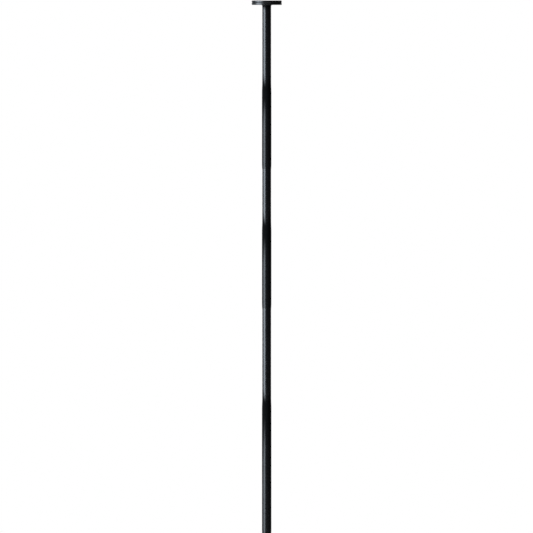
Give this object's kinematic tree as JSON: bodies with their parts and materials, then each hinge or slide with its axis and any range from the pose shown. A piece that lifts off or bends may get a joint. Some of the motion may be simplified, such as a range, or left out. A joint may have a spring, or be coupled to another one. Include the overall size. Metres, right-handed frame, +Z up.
{
  "type": "plant stake",
  "caption": "Slim black garden stake of push-together tube sections, with a flat capped round head on top and a pointed ground spike at the foot.",
  "frame": {"origin": "on the stake's axis at the soil line, 30 mm under the lowest rim", "axes": "+Z up along the stake; -Y faces the picture's camera"},
  "size_m": [0.068, 0.068, 1.4826],
  "materials": {
    "black_coat": "semi-gloss black coat on steel",
    "cap_plastic": "semi-gloss black moulded plastic",
    "spring_steel": "bare spring steel"
  },
  "bodies": {
    "ground_section": {"ground_tube": "black_coat", "ground_spike": "black_coat", "spike_pin": "spring_steel"},
    "lower_section": {"lower_tube": "black_coat"},
    "middle_section": {"middle_tube": "black_coat"},
    "upper_section": {"upper_tube": "black_coat", "head_plate": "black_coat", "head_weld": "black_coat", "head_cap": "cap_plastic"}
  },
  "joints": [
    {"name": "lower_pull", "type": "slide", "parent": "ground_section", "child": "lower_section", "axis": [0, 0, 1], "range_m": [0, 0.3]},
    {"name": "middle_pull", "type": "slide", "parent": "lower_section", "child": "middle_section", "axis": [0, 0, 1], "range_m": [0, 0.185]},
    {"name": "upper_pull", "type": "slide", "parent": "middle_section", "child": "upper_section", "axis": [0, 0, 1], "range_m": [0, 0.185]}
  ]
}
